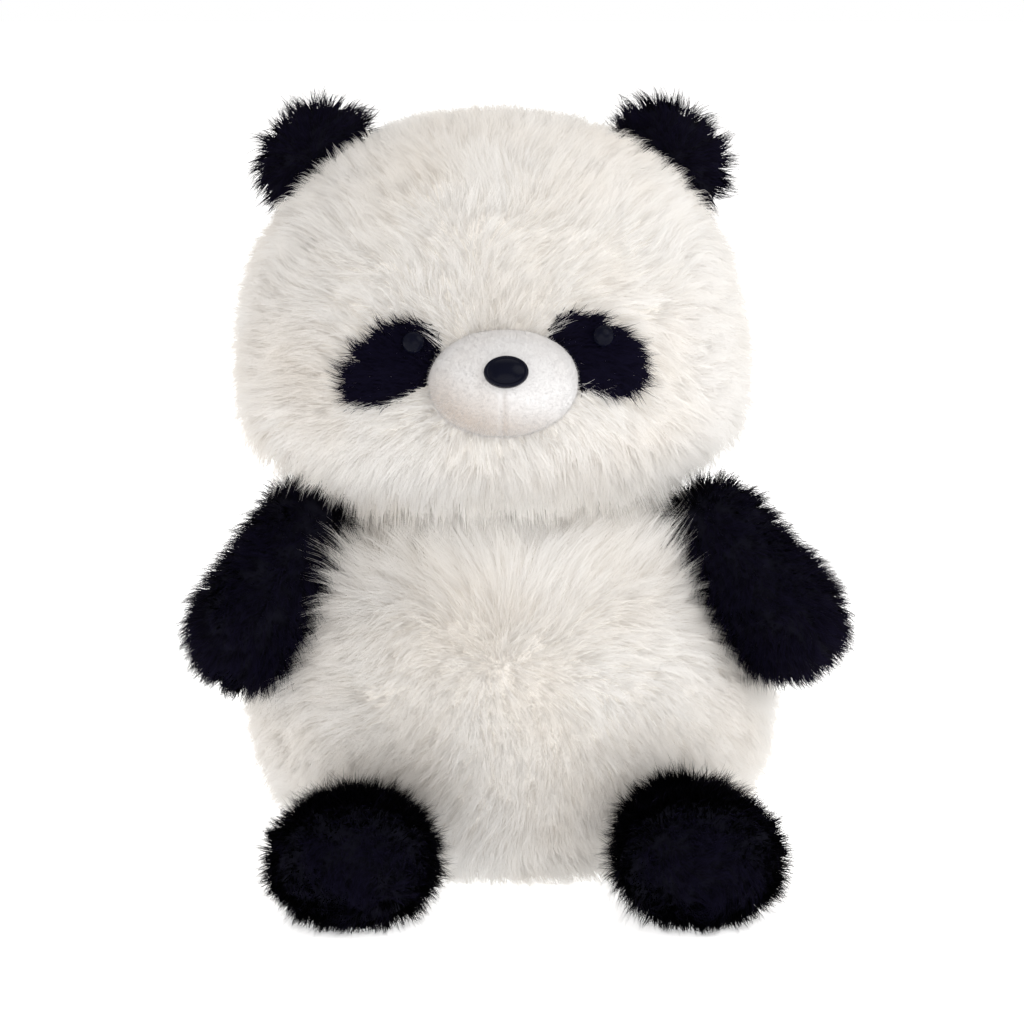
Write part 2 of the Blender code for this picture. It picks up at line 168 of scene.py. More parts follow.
def hull_of(points, name):
    bm = bmesh.new()
    for p in points:
        bm.verts.new(p)
    made = bmesh.ops.convex_hull(bm, input=bm.verts)
    loose = [v for v in made["geom_interior"] if isinstance(v, bmesh.types.BMVert)]
    bmesh.ops.delete(bm, geom=loose, context="VERTS")
    bmesh.ops.recalc_face_normals(bm, faces=bm.faces)
    mesh = bpy.data.meshes.new(name)
    bm.to_mesh(mesh)
    bm.free()
    return link(name, mesh)


def vertex_normals(mesh):
    normals = np.zeros(len(mesh.vertices) * 3)
    mesh.vertex_normals.foreach_get("vector", normals)
    return normals.reshape(-1, 3)


def set_coordinates(mesh, co):
    mesh.vertices.foreach_set("co", co.ravel())
    mesh.update()


def rounded_form(name, nodes, voxel, rounds):
    """A closed, evenly meshed and smoothed form round some CAD nodes."""
    obj = hull_of(node_points(*nodes), name)
    remesh = obj.modifiers.new("remesh", "REMESH")
    remesh.mode = "VOXEL"
    remesh.voxel_size = voxel
    smooth = obj.modifiers.new("smooth", "SMOOTH")
    smooth.factor = 0.5
    smooth.iterations = rounds
    return applied(obj)


def padded(name, nodes, voxel, inset, seams=(), swell=3 * MM, pressure=CLOTH_PRESSURE, rounds=8):
    """A stuffed skin: a form of some CAD nodes, drawn in by inset and blown up by a cloth simulation.

    Seams are (point, normal, half width) planes; the fabric is held there, so that it dips along them.
    """
    obj = rounded_form(name, nodes, voxel, rounds)
    mesh = obj.data
    base = coordinates(mesh) - vertex_normals(mesh) * inset
    set_coordinates(mesh, base)

    held = np.zeros(len(base), bool)
    for point, normal, half in seams:
        held |= np.abs((base - np.array(point)) @ np.array(normal)) < half
    group = obj.vertex_groups.new(name="seam")
    group.add(np.flatnonzero(held).tolist(), 1.0, "REPLACE")
    cloth = obj.modifiers.new("cloth", "CLOTH")
    settings = cloth.settings
    settings.quality = 4
    settings.mass = 0.2
    settings.tension_stiffness = 12
    settings.compression_stiffness = 8
    settings.shear_stiffness = 4
    settings.bending_stiffness = 0.4
    settings.use_pressure = True
    settings.uniform_pressure_force = pressure
    settings.vertex_group_mass = "seam"
    settings.effector_weights.gravity = 0
    cloth.collision_settings.use_collision = False
    cloth.point_cache.frame_end = CLOTH_FRAMES
    for step in range(1, CLOTH_FRAMES + 1):
        bpy.context.scene.frame_set(step)
    applied(obj)
    mesh = obj.data
    moved = coordinates(mesh) - base
    far = np.linalg.norm(moved, axis=1, keepdims=True)
    moved *= np.minimum(1, swell / np.maximum(far, 1e-9))
    set_coordinates(mesh, base + moved)
    bpy.context.scene.frame_set(1)
    obj.vertex_groups.clear()
    mesh.shade_smooth()
    return obj


class Skin:
    """A padded skin's faces as triangles, each one labelled with the CAD panel it belongs to."""

    def __init__(self, obj, panels):
        mesh = obj.data
        mesh.calc_loop_triangles()
        self.co = coordinates(mesh)
        self.normals = vertex_normals(mesh)
        tris = np.zeros(len(mesh.loop_triangles) * 3, np.int32)
        mesh.loop_triangles.foreach_get("vertices", tris)
        self.tris = tris.reshape(-1, 3)
        corners = self.co[self.tris]
        centres = corners.mean(axis=1)
        crossed = np.cross(corners[:, 1] - corners[:, 0], corners[:, 2] - corners[:, 0])
        self.areas = np.linalg.norm(crossed, axis=1) / 2
        trees = [node_tree(name) for name in panels]
        away = np.array([[tree.find_nearest(c)[3] for tree in trees] for c in centres.tolist()])
        self.panels = list(panels)
        self.label = away.argmin(axis=1)

    def scatter(self, count, rng, panel=None):
        """Random points on one panel, or on the whole skin, with their normals."""
        weight = self.areas.copy()
        if panel is not None:
            weight[self.label != self.panels.index(panel)] = 0
        pick = rng.choice(len(weight), size=count, p=weight / weight.sum())
        a, b = rng.random((2, count, 1))
        flip = a + b > 1
        a, b = np.where(flip, 1 - a, a), np.where(flip, 1 - b, b)
        first, second, third = self.tris[pick].T

        def between(values):
            return values[first] * (1 - a - b) + values[second] * a + values[third] * b

        return between(self.co), unit(between(self.normals))

    def area(self, panel):
        return self.areas[self.label == self.panels.index(panel)].sum()

    def backing(self, panel, thickness=0.8 * MM):
        """The fabric of one panel, with its thickness."""
        tris = self.tris[self.label == self.panels.index(panel)]
        used, index = np.unique(tris, return_inverse=True)
        tris = index.reshape(-1, 3)
        outer = self.co[used]
        inner = outer - self.normals[used] * thickness
        edges = np.concatenate([tris[:, [0, 1]], tris[:, [1, 2]], tris[:, [2, 0]]])
        back = {(b, a) for a, b in edges.tolist()}
        rim = [edge for edge in edges.tolist() if tuple(edge) not in back]
        n = len(used)
        faces = tris.tolist() + (tris[:, ::-1] + n).tolist() + [[b, a, a + n, b + n] for a, b in rim]
        mesh = bpy.data.meshes.new(panel)
        mesh.from_pydata(np.concatenate([outer, inner]).tolist(), [], faces)
        mesh.shade_smooth()
        return mesh


def strands(roots, normals, flow, look, rng, mood=None):
    """Locks of pile, each a guide with a few hairs that close towards its tip.

    Returns the points along every hair and the direction each hair is lit from.

    look holds length, lift (from the skin, at root and tip, in degrees), hairs per lock, spread and closing.
    mood gives, for every root, how unruly the pile is there, a vector that pulls it and how long it is.
    """
    hairs = look["hairs"]
    n = len(roots)
    unruly, pull, longer = mood(roots, normals) if mood else (np.ones(n), np.zeros((n, 3)), np.ones(n))
    vary = look["vary"]
    length = look["length"] * rng.uniform(1 - vary, 1 + vary * 0.6, (n, 1)) * longer[:, None]
    turn = rng.normal(0, look["stray"], (n, 1)) * unruly[:, None]
    side = np.cross(normals, flow)
    heading = unit(flow * np.cos(turn) + side * np.sin(turn))
    steps = look["steps"]
    lift = np.radians(np.linspace(look["lift"][0], look["lift"][1], steps))[None, :, None]
    lift = lift + (rng.normal(0, look["ruffle"], n) * unruly)[:, None, None]
    along = heading[:, None] * np.cos(lift) + normals[:, None] * np.sin(lift)
    sag = np.array([0, 0, -look["sag"]]) * np.linspace(0.2, 1, steps)[:, None]
    along = unit(along + sag + pull[:, None])
    guide = np.concatenate([np.zeros((n, 1, 3)), np.cumsum(along, axis=1)], axis=1)
    guide = guide * length[:, None] / steps

    roots = np.repeat(roots, hairs, axis=0)
    normals = np.repeat(normals, hairs, axis=0)
    guide = np.repeat(guide, hairs, axis=0)
    spread = across(rng.normal(0, look["spread"], (n * hairs, 3)), normals)
    pull = np.repeat(pull, hairs, axis=0)
    lit = unit(normals - pull * np.sum(normals * pull, axis=1, keepdims=True) * PULL_SHADE)
    unruly = np.repeat(unruly, hairs)[:, None, None]
    close = 1 - look["closing"] * np.linspace(0, 1, steps + 1)[None, :, None]
    trim = rng.uniform(0.72, 1.08, (n * hairs, 1, 1))
    bend = np.linspace(0, 1, steps + 1)[None, :, None] ** 2
    frizz = rng.normal(0, look["frizz"], (n * hairs, 1, 3)) * bend * unruly
    points = roots[:, None] + guide * trim + spread[:, None] * close + frizz
    points[:, :, 2] = np.maximum(points[:, :, 2], FLOOR_CLEARANCE)
    return points, lit


def pile_mesh(name, points, normals, width, tint, rng):
    """Flat tapering ribbons along the strands, lit as the skin under them is."""
    n, count, _ = points.shape
    steps = count - 1
    direction = unit(np.gradient(points, axis=1))
    sideways = unit(np.cross(direction, normals[:, None]))
    roll = rng.uniform(-0.9, 0.9, (n, 1, 1))
    third = np.cross(direction, sideways)
    sideways = sideways * np.cos(roll) + third * np.sin(roll)
    taper = np.linspace(1, 0.35, steps)[None, :, None]
    half = sideways[:, :steps] * taper * width * 0.5 * rng.uniform(0.7, 1.3, (n, 1, 1))
    left, right = points[:, :steps] - half, points[:, :steps] + half
    body = np.stack([left, right], axis=2).reshape(n, steps * 2, 3)
    verts = np.concatenate([body, points[:, steps:]], axis=1).reshape(-1, 3)
    per = steps * 2 + 1
    quads = [[2 * k, 2 * k + 1, 2 * k + 3, 2 * k + 2] for k in range(steps - 1)]
    loops_one = np.array([i for quad in quads for i in quad] + [per - 3, per - 2, per - 1])
    sizes_one = np.array([4] * (steps - 1) + [3])
    loops = (np.arange(n)[:, None] * per + loops_one).ravel()
    sizes = np.tile(sizes_one, n)

    height_one = np.array([k // 2 for k in range(steps * 2)] + [steps]) / steps
    u = np.repeat(tint, len(loops_one))
    v = np.tile(height_one[loops_one], n)
    lit = unit(normals[:, None] + direction * 0.35)
    lit = np.concatenate([np.repeat(lit[:, :steps], 2, axis=1), lit[:, steps:]], axis=1).reshape(-1, 3)

    mesh = bpy.data.meshes.new(name)
    mesh.vertices.add(len(verts))
    mesh.vertices.foreach_set("co", verts.ravel())
    mesh.loops.add(len(loops))
    mesh.loops.foreach_set("vertex_index", loops.astype(np.int32))
    mesh.polygons.add(len(sizes))
    starts = np.concatenate([[0], np.cumsum(sizes)[:-1]])
    mesh.polygons.foreach_set("loop_start", starts.astype(np.int32))
    layer = mesh.uv_layers.new(name="OFBake")
    layer.uv.foreach_set("vector", np.stack([u, v * 0.96 + 0.02], axis=1).astype(np.float32).ravel())
    mesh.update(calc_edges=True)
    mesh.shade_smooth()
    mesh.normals_split_custom_set_from_vertices(lit)
    return mesh


# Materials


class Nodes:
    """A short way to wire a material's nodes."""

    def __init__(self, name):
        self.material = bpy.data.materials.new(name)
        self.material.use_nodes = True
        self.tree = self.material.node_tree
        self.shader = self.tree.nodes["Principled BSDF"]
        self.output = self.tree.nodes["Material Output"]

    def add(self, kind, **values):
        node = self.tree.nodes.new(kind)
        for key, value in values.items():
            if key in node.inputs:
                node.inputs[key].default_value = value
            else:
                setattr(node, key, value)
        return node

    def wire(self, source, target):
        self.tree.links.new(source, target)

    def ramp(self, factor, stops):
        node = self.add("ShaderNodeValToRGB")
        ramp = node.color_ramp
        while len(ramp.elements) < len(stops):
            ramp.elements.new(0.5)
        for element, (position, colour) in zip(ramp.elements, stops):
            element.position = position
            element.color = (*colour, 1)
        self.wire(factor, node.inputs["Fac"])
        return node.outputs["Color"]

    def mix(self, factor, a, b, blend="MIX"):
        node = self.add("ShaderNodeMix", data_type="RGBA", blend_type=blend)
        for value, socket in ((factor, node.inputs[0]), (a, node.inputs[6]), (b, node.inputs[7])):
            if isinstance(value, bpy.types.NodeSocket):
                self.wire(value, socket)
            elif isinstance(value, tuple):
                socket.default_value = (*value, 1)
            else:
                socket.default_value = value
        return node.outputs[2]

    def noise(self, scale, detail=3.0, vector=None):
        node = self.add("ShaderNodeTexNoise", Scale=scale, Detail=detail)
        if vector is None:
            vector = self.add("ShaderNodeTexCoord").outputs["Object"]
        self.wire(vector, node.inputs["Vector"])
        return node.outputs["Fac"]


def pile_material(name, along, tints, blotch, sheen, through, shine, roughness=0.7):
    """Pile: a colour that changes from root to tip and from lock to lock, and over the whole coat.

    along runs from root to tip, its darker roots partly painted shade where the pile shades itself near the
    skin and partly the fibres' own tone; tints runs over the locks, and blotch is how much of the coat is
    stained and with what. through is the share of light that passes through a hair.
    """
    made = Nodes(name)
    place = made.add("ShaderNodeUVMap", uv_map="OFBake").outputs["UV"]
    split = made.add("ShaderNodeSeparateXYZ")
    made.wire(place, split.inputs[0])
    # root to tip: the darker roots are partly painted shade deep in the pile, partly the fibres' own tone
    hair = made.ramp(split.outputs["Y"], along)
    lock = made.ramp(split.outputs["X"], tints)
    colour = made.mix(1.0, hair, lock, "MULTIPLY")
    patches = made.ramp(made.noise(22, 4), ((0.42, (0, 0, 0)), (0.68, (1, 1, 1))))
    share, stain = blotch
    weight = made.mix(1.0, patches, (share, share, share), "MULTIPLY")
    stained = made.mix(1.0, colour, stain, "MULTIPLY")
    colour = made.mix(weight, colour, stained)
    made.wire(colour, made.shader.inputs["Base Color"])
    made.shader.inputs["Roughness"].default_value = roughness
    made.shader.inputs["Specular IOR Level"].default_value = shine
    made.shader.inputs["Sheen Weight"].default_value = sheen
    if through:
        glow = made.add("ShaderNodeBsdfTranslucent")
        made.wire(colour, glow.inputs["Color"])
        both = made.add("ShaderNodeMixShader", Fac=through)
        made.wire(made.shader.outputs[0], both.inputs[1])
        made.wire(glow.outputs[0], both.inputs[2])
        made.wire(both.outputs[0], made.output.inputs["Surface"])
    return made.material


def knit_material(name, base, shade):
    """The knitted backing under the pile."""
    made = Nodes(name)
    colour = made.mix(made.noise(900, 2), base, shade)
    made.wire(colour, made.shader.inputs["Base Color"])
    made.shader.inputs["Roughness"].default_value = 0.95
    made.shader.inputs["Specular IOR Level"].default_value = 0.05
    bump = made.add("ShaderNodeBump", Strength=0.4, Distance=0.3 * MM)
    made.wire(made.noise(1400, 2), bump.inputs["Height"])
    made.wire(bump.outputs["Normal"], made.shader.inputs["Normal"])
    return made.material


# Every pile is darker at the root: partly painted shade where the pile shades itself near the skin, partly
# the fibres' own tone
WHITE_PILE = pile_material(
    "white_pile",
    along=(
        (0.0, (0.87, 0.85, 0.825)),
        (0.35, (0.925, 0.915, 0.90)),
        (0.8, (0.955, 0.95, 0.94)),
        (1.0, (0.98, 0.975, 0.97)),
    ),
    tints=((0.0, (0.965, 0.955, 0.94)), (0.5, (1.0, 0.997, 0.99)), (1.0, (1.0, 1.0, 1.0))),
    blotch=(0.5, (0.95, 0.915, 0.87)),
    sheen=0.05,
    through=0.4,
    shine=0.1,
)
NAP_FIBRE = pile_material(
    "nap_fibre",
    along=((0.0, (0.68, 0.67, 0.67)), (1.0, (0.74, 0.73, 0.73))),
    tints=((0.0, (0.97, 0.97, 0.97)), (1.0, (1.0, 1.0, 1.0))),
    blotch=(0.3, (0.98, 0.97, 0.95)),
    sheen=0.05,
    through=0.45,
    shine=0.05,
    roughness=0.8,
)
BLACK_PILE = pile_material(
    "black_pile",
    along=((0.0, (0.0015, 0.001, 0.004)), (0.5, (0.003, 0.002, 0.010)), (1.0, (0.005, 0.004, 0.019))),
    tints=((0.0, (0.7, 0.7, 0.75)), (1.0, (1.0, 1.0, 1.0))),
    blotch=(0.4, (0.8, 0.8, 0.9)),
    sheen=0.0,
    through=0.0,
    shine=0.06,
)
WHITE_KNIT = knit_material("white_knit", (0.80, 0.775, 0.735), (0.74, 0.71, 0.67))
BLACK_KNIT = knit_material("black_knit", (0.004, 0.004, 0.008), (0.008, 0.008, 0.014))
WHITE = (WHITE_PILE, WHITE_KNIT)
BLACK = (BLACK_PILE, BLACK_KNIT)


def nap_material():
    """The muzzle's short nap: nearly smooth, with a soft grain, and painted shade towards its lower left
    underside.
    """
    made = Nodes("short_nap")
    grain = made.noise(1500, 3)
    colour = made.mix(grain, (0.66, 0.655, 0.66), (0.61, 0.605, 0.605))
    broad = made.ramp(made.noise(60, 2), ((0.4, (1, 1, 1)), (0.75, (0.97, 0.95, 0.93))))
    colour = made.mix(1.0, colour, broad, "MULTIPLY")
    # painted shade: the nap is darker and warmer where it faces down and to the left, away from the lamps
    facing = made.add("ShaderNodeVectorMath", operation="DOT_PRODUCT")
    made.wire(made.add("ShaderNodeNewGeometry").outputs["Normal"], facing.inputs[0])
    facing.inputs[1].default_value = (-0.6, 0.0, -0.8)
    painted_shade = made.ramp(facing.outputs["Value"], ((0.0, (1, 1, 1)), (0.8, (0.64, 0.57, 0.51))))
    colour = made.mix(1.0, colour, painted_shade, "MULTIPLY")
    made.wire(colour, made.shader.inputs["Base Color"])
    made.shader.inputs["Roughness"].default_value = 0.85
    made.shader.inputs["Sheen Weight"].default_value = 0.3
    bump = made.add("ShaderNodeBump", Strength=0.35, Distance=0.3 * MM)
    made.wire(grain, bump.inputs["Height"])
    made.wire(bump.outputs["Normal"], made.shader.inputs["Normal"])
    return made.material


def plastic_material(name, colour, roughness, marks=0.05):
    """Moulded plastic, with faint rubbing that changes how it shines."""
    made = Nodes(name)
    tone = made.mix(made.noise(300, 4), colour, tuple(c * 1.35 + 0.0008 for c in colour))
    made.wire(tone, made.shader.inputs["Base Color"])
    low, high = (roughness,) * 3, (roughness + marks,) * 3
    made.wire(made.ramp(made.noise(500, 5), ((0.45, low), (0.7, high))), made.shader.inputs["Roughness"])
    made.shader.inputs["Specular IOR Level"].default_value = 0.07
    return made.material


def fibre_material():
    """Polyester filling: white, with soft darker patches, painted shade for the hollows among its lumps."""
    made = Nodes("fibre_fill")
    # painted shade: noise darkens patches of the filling to stand for the shade in its hollows
    tone = made.ramp(made.noise(130, 8), ((0.35, (0.70, 0.70, 0.69)), (0.62, (0.93, 0.93, 0.92))))
    made.wire(tone, made.shader.inputs["Base Color"])
    made.shader.inputs["Roughness"].default_value = 0.95
    made.shader.inputs["Sheen Weight"].default_value = 0.4
    bump = made.add("ShaderNodeBump", Strength=0.8, Distance=1.2 * MM)
    made.wire(made.noise(420, 8), bump.inputs["Height"])
    made.wire(bump.outputs["Normal"], made.shader.inputs["Normal"])
    return made.material


def woven_material(name, colour, shade, scale):
    """A fine woven ribbon or a twisted thread."""
    made = Nodes(name)
    place = made.add("ShaderNodeTexCoord").outputs["Object"]
    wave = made.add("ShaderNodeTexWave", Scale=scale, Distortion=0.6, bands_direction="DIAGONAL")
    made.wire(place, wave.inputs["Vector"])
    made.wire(made.mix(wave.outputs["Fac"], colour, shade), made.shader.inputs["Base Color"])
    made.shader.inputs["Roughness"].default_value = 0.6
    bump = made.add("ShaderNodeBump", Strength=0.5, Distance=0.15 * MM)
    made.wire(wave.outputs["Fac"], bump.inputs["Height"])
    made.wire(bump.outputs["Normal"], made.shader.inputs["Normal"])
    return made.material


SHORT_NAP = nap_material()
FIBRE = fibre_material()
BLACK_PLASTIC = plastic_material("black_plastic", (0.001, 0.0014, 0.006), 0.2)
CLEAR_PLASTIC = plastic_material("washer_plastic", (0.72, 0.72, 0.70), 0.35, 0.1)
RIBBON = woven_material("ribbon", (0.78, 0.78, 0.78), (0.66, 0.66, 0.65), 900)
THREAD = woven_material("thread", (0.80, 0.77, 0.72), (0.62, 0.58, 0.52), 700)

# Coats: how each kind of pile lies. Lift is in degrees at root and tip, stray and ruffle are in radians,
# and locks are roots per square millimetre
LONG_WHITE = dict(
    length=13.5 * MM, vary=0.3, lift=(58, 12), stray=0.18, ruffle=0.09, sag=0.30, steps=3,
    hairs=8, spread=1.25 * MM, closing=0.5, frizz=0.6 * MM, locks=0.2, width=0.24 * MM,
)
UNDER_WHITE = dict(
    length=8.0 * MM, vary=0.25, lift=(60, 26), stray=0.4, ruffle=0.12, sag=0.15, steps=2,
    hairs=5, spread=1.3 * MM, closing=0.2, frizz=0.6 * MM, locks=0.14, width=0.6 * MM,
)
LONG_BLACK = dict(
    length=9.5 * MM, vary=0.3, lift=(66, 40), stray=0.35, ruffle=0.16, sag=0.05, steps=2,
    hairs=7, spread=0.9 * MM, closing=0.5, frizz=0.6 * MM, locks=0.26, width=0.3 * MM,
)
NAP = dict(
    length=1.1 * MM, vary=0.3, lift=(60, 35), stray=0.6, ruffle=0.15, sag=0.1, steps=1,
    hairs=1, spread=0.1 * MM, closing=0.0, frizz=0.12 * MM, width=0.09 * MM,
)
UNDER_BLACK = UNDER_WHITE | dict(length=6.0 * MM, lift=(62, 44), sag=0.02, hairs=3, width=0.9 * MM)


def coat(skin, panel, body, flow_at, looks, materials, seed, slot, keep=None, mood=None):
    """One panel of pile fabric: its backing, a short undercoat and the long pile."""
    pile, knit = materials
    backing = link(panel + "_backing", skin.backing(panel), knit)
    pieces = [backing]
    for k, (layer, look) in enumerate(zip(("pile", "undercoat"), looks)):
        rng = np.random.default_rng(seed * 10 + k)
        count = max(20, int(skin.area(panel) / MM**2 * look["locks"]))
        roots, normals = skin.scatter(count, rng, panel)
        if keep is not None:
            chosen = keep(roots, normals, rng)
            roots, normals = roots[chosen], normals[chosen]
        flow = unit(across(flow_at(roots, normals), normals))
        points, normals = strands(roots, normals, flow, look, rng, mood)
        tint = np.repeat(rng.beta(2, 2, len(roots)), look["hairs"])
        tint = np.clip(tint + rng.normal(0, 0.12, len(tint)), 0.01, 0.99)
        parts = math.ceil(len(points) * (2 * look["steps"] - 1) / MOST_TRIANGLES)
        for part in range(parts):
            name = f"{panel}_{layer}" + (f"_{part + 1}" if parts > 1 else "")
            some = slice(part, None, parts)
            mesh = pile_mesh(name, points[some], normals[some], look["width"], tint[some], rng)
            piece = link(name, mesh, pile)
            piece.visible_shadow = slot != "white_pile"  # light passes through white pile
            pieces.append(piece)
    for piece in pieces:
        stands_for(piece, panel, body)


# Directions the pile is combed in, and how it reaches over a gap


def head_flow(nose, seed=5):
    swirl = Wander(seed, 26 * MM)
    broad = Wander(seed + 1, 70 * MM)

    def flow(p, n):
        out = across(p - nose, n)
        far = np.linalg.norm(p - nose, axis=1, keepdims=True)
        away = unit(out)
        down = np.clip((far - 25 * MM) / (60 * MM), 0, 1) * 0.35
        return away + np.array([0, 0, -1.0]) * down + swirl.at(p) * 0.22 + broad.at(p) * 0.15

    return flow


def torso_flow(parting, seed=15):
    """The torso's pile is combed away from a short upright parting on the chest, and down."""
    swirl = Wander(seed, 26 * MM)
    broad = Wander(seed + 1, 70 * MM)

    def flow(p, n):
        bottom, top = parting
        on_line = bottom + (top - bottom) * np.clip((p[:, 2:] - bottom[2]) / (top[2] - bottom[2]), 0, 1)
        out = p - on_line
        above = np.clip(out[:, 2:] / (25 * MM), 0, 1)
        out = out * (1 - above * np.array([0, 0, 0.8]))
        away = unit(across(out, n)) * np.clip(np.linalg.norm(out, axis=1, keepdims=True) / (12 * MM), 0.4, 1)
        return away + np.array([0, 0, -0.4]) + swirl.at(p) * 0.28 + broad.at(p) * 0.3

    return flow


def gaps(points, trees, direction):
    """How far each point is from the nearest tree in one direction, or a large number."""
    found = []
    for p in points.tolist():
        hits = [tree.ray_cast(p, direction)[3] for tree in trees]
        found.append(min((hit for hit in hits if hit is not None), default=1.0))
    return np.array(found)


def in_front(p):
    """One in front of the neck and nothing well behind it, where the pile lies flat and the neck shows."""
    return np.clip((joint_place("neck_turn")[1] + 32 * MM - p[:, 1]) / (25 * MM), 0, 1)


def reaching(nodes, direction, most):
    """A mood: pile that faces another body across a small gap reaches over to it and fills the gap."""
    trees = [node_tree(name) for name in nodes]
    direction = np.array(direction, float)

    def mood(p, n):
        gap = gaps(p, trees, Vector(direction))
        near = np.clip((most - gap) / (14 * MM), 0, 1) * in_front(p)
        near = near * np.clip(n @ direction * 2, 0, 1)
        pull = direction * (near * 1.2)[:, None]
        longer = 1 + near * (np.clip(gap * 0.62 / (11 * MM), 0.85, 1.55) - 1)
        return np.ones(len(p)), pull, longer

    return mood


def bulge(obj, nodes, direction, most, share):
    """Stuffing pushes the skin a little way towards a body that faces it across a small gap.

    It never moves by more than most, nor by more than a share of the gap.
    """
    co, normals = coordinates(obj.data), vertex_normals(obj.data)
    direction = np.array(direction, float)
    facing = np.clip(normals @ direction, 0, 1)
    gap = gaps(co, [node_tree(name) for name in nodes], Vector(direction))
    near = np.clip((56 * MM - gap) / (20 * MM), 0, 1) * in_front(co)
    step = np.minimum(most * near, share * gap) * np.clip(facing * 1.6, 0, 1)
    set_coordinates(obj.data, co + direction * step[:, None])


def limb_flow(root, tip, seed):
    axis = unit(np.array(tip) - np.array(root))
    swirl = Wander(seed, 18 * MM)

    def flow(p, n):
        return axis + n * 0.1 + swirl.at(p) * 0.3

    return flow


# Pieces


def filling(name, node, body, shrink, seed):
    """Polyester filling: lumps of fibre, a little smaller than the space it fills."""
    obj = rounded_form(name, (node,), 3.2 * MM, 4)
    co, normals = coordinates(obj.data), vertex_normals(obj.data)
    broad = Wander(seed, 17 * MM).at(co)[:, :1] * 0.9 * MM
    fine = Wander(seed + 1, 7 * MM).at(co)[:, :1] * 0.4 * MM
    set_coordinates(obj.data, co - normals * (shrink - broad - fine))
    obj.data.shade_smooth()
    obj.data.materials.append(FIBRE)
    stands_for(obj, node, body)


def joint_place(name):
    return np.array(JOINTS[name]["pos_m"])


def head():
    """The head: its skin, the white coat round the muzzle and the patches, and the two black patches."""
    seam_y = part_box("head_back_left")[0].y
    seams = (((0, seam_y, 0), (0, 1, 0), 1.6 * MM),)
    skin_obj = padded("head_skin", HEAD_PANELS, SKIN_VOXEL, SKIN_DEPTH, seams)
    bulge(skin_obj, TORSO_PANELS, (0, 0, -1), most=3 * MM, share=0.12)
    skin = Skin(skin_obj, HEAD_PANELS)
    muzzle_low, muzzle_high = (np.array(c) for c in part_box("muzzle_cover"))
    muzzle_middle = (muzzle_low + muzzle_high) / 2
    muzzle_half = (muzzle_high - muzzle_low) / 2
    patches = [node_tree(f"eye_patch_{side}") for side in ("left", "right")]
    brow = patch_top()
    nose = np.array([muzzle_middle[0], muzzle_low[1], muzzle_middle[2]])
    flow = head_flow(nose)

    def share_of_muzzle(p):
        x = (p[:, 0] - muzzle_middle[0]) / muzzle_half[0]
        z = (p[:, 2] - muzzle_middle[2]) / muzzle_half[2]
        return np.hypot(x, z)

    def patch_gap(p, n, overhang):
        """How far the pile that grows from each root lies from the two patches, at some way along it."""
        lying = p + unit(across(flow(p, n), n)) * overhang + n * (SKIN_DEPTH + PATCH_RISE)
        return np.array([[tree.find_nearest(c)[3] for tree in patches] for c in lying.tolist()])

    def open_face(p, n, rng):
        bare = share_of_muzzle(p) < MUZZLE_BARE
        black = np.zeros(len(p), bool)
        for overhang in (1 * MM, 4 * MM, 7 * MM):
            black |= patch_gap(p, n, overhang).min(axis=1) < PATCH_REACH
        return ~(bare | black)

    looks = (LONG_WHITE, UNDER_WHITE)
    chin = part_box("face_panel")[0].z
    reach = reaching(TORSO_PANELS + ARM_PANELS, (0, 0, -1), most=44 * MM)
    ears = [node_tree(f"ear_{side}_front") for side in ("left", "right")]

    def mood(p, n):
        """Combed smooth above the brow, short beside the ears, and hanging over the chest."""
        unruly, pull, longer = reach(p, n)
        smooth = np.clip((p[:, 2] - brow) / (25 * MM), 0, 1)
        fringe = np.clip((chin + 30 * MM - p[:, 2]) / (22 * MM), 0, 1) * in_front(p)
        pull = pull * 0.8 + np.outer(fringe, (0, 0, -0.5))
        to_ear = np.array([min(tree.find_nearest(c)[3] for tree in ears) for c in p.tolist()])
        by_ear = np.clip((14 * MM - to_ear) / (9 * MM), 0, 1)
        return unruly * (1 - 0.65 * smooth), pull, longer * (1 - 0.1 * fringe) * (1 - 0.4 * by_ear)

    coat(skin, "face_panel", "head", flow, looks, WHITE, 21, "white_pile", open_face, mood)
    for k, side in enumerate(("left", "right")):
        panel = f"head_back_{side}"
        coat(skin, panel, "head", flow, looks, WHITE, 22 + k, "white_pile", None, mood)
        patch_pile(side, k, skin, patch_gap, share_of_muzzle, flow)
    bpy.data.objects.remove(skin_obj)
    filling("head_filling", "head_stuffing", "head", 2.2 * MM, 31)


def patch_top():
    return max(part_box(f"eye_patch_{side}")[1].z for side in ("left", "right"))


def patch_pile(side, index, skin, patch_gap, share_of_muzzle, flow):
    """An eye patch: shorter black pile over a thick undercoat."""
    rng = np.random.default_rng(300 + index)
    roots, normals = skin.scatter(PATCH_TRIES, rng, "face_panel")
    near = (patch_gap(roots, normals, 3.5 * MM)[:, index] < PATCH_REACH) & (share_of_muzzle(roots) > 0.9)
    roots, normals = roots[near], normals[near]
    long = LONG_BLACK | dict(length=9 * MM, lift=(58, 24), hairs=4, spread=0.8 * MM)
    under = UNDER_BLACK | dict(hairs=2, stray=0.8, spread=0.8 * MM)
    heading = unit(across(flow(roots, normals), normals))
    eye = middle(f"eye_{side}")

    def round_the_eye(p, n):
        """Pile stands up beside the eye and half buries it."""
        close = np.clip((10 * MM - np.linalg.norm(across(p - eye, n), axis=1)) / (4 * MM), 0, 1)
        return np.ones(len(p)), n * close[:, None], 1 + 0.3 * close

    for layer, look, width in (("pile", long, 0.5 * MM), ("undercoat", under, 1.3 * MM)):
        name = f"eye_patch_{side}_{layer}"
        points, lit = strands(roots, normals, heading, look, rng, round_the_eye)
        tint = rng.uniform(0.05, 0.95, len(points))
        piece = link(name, pile_mesh(name, points, lit, width, tint, rng), BLACK_PILE)
        stands_for(piece, f"eye_patch_{side}", "head")


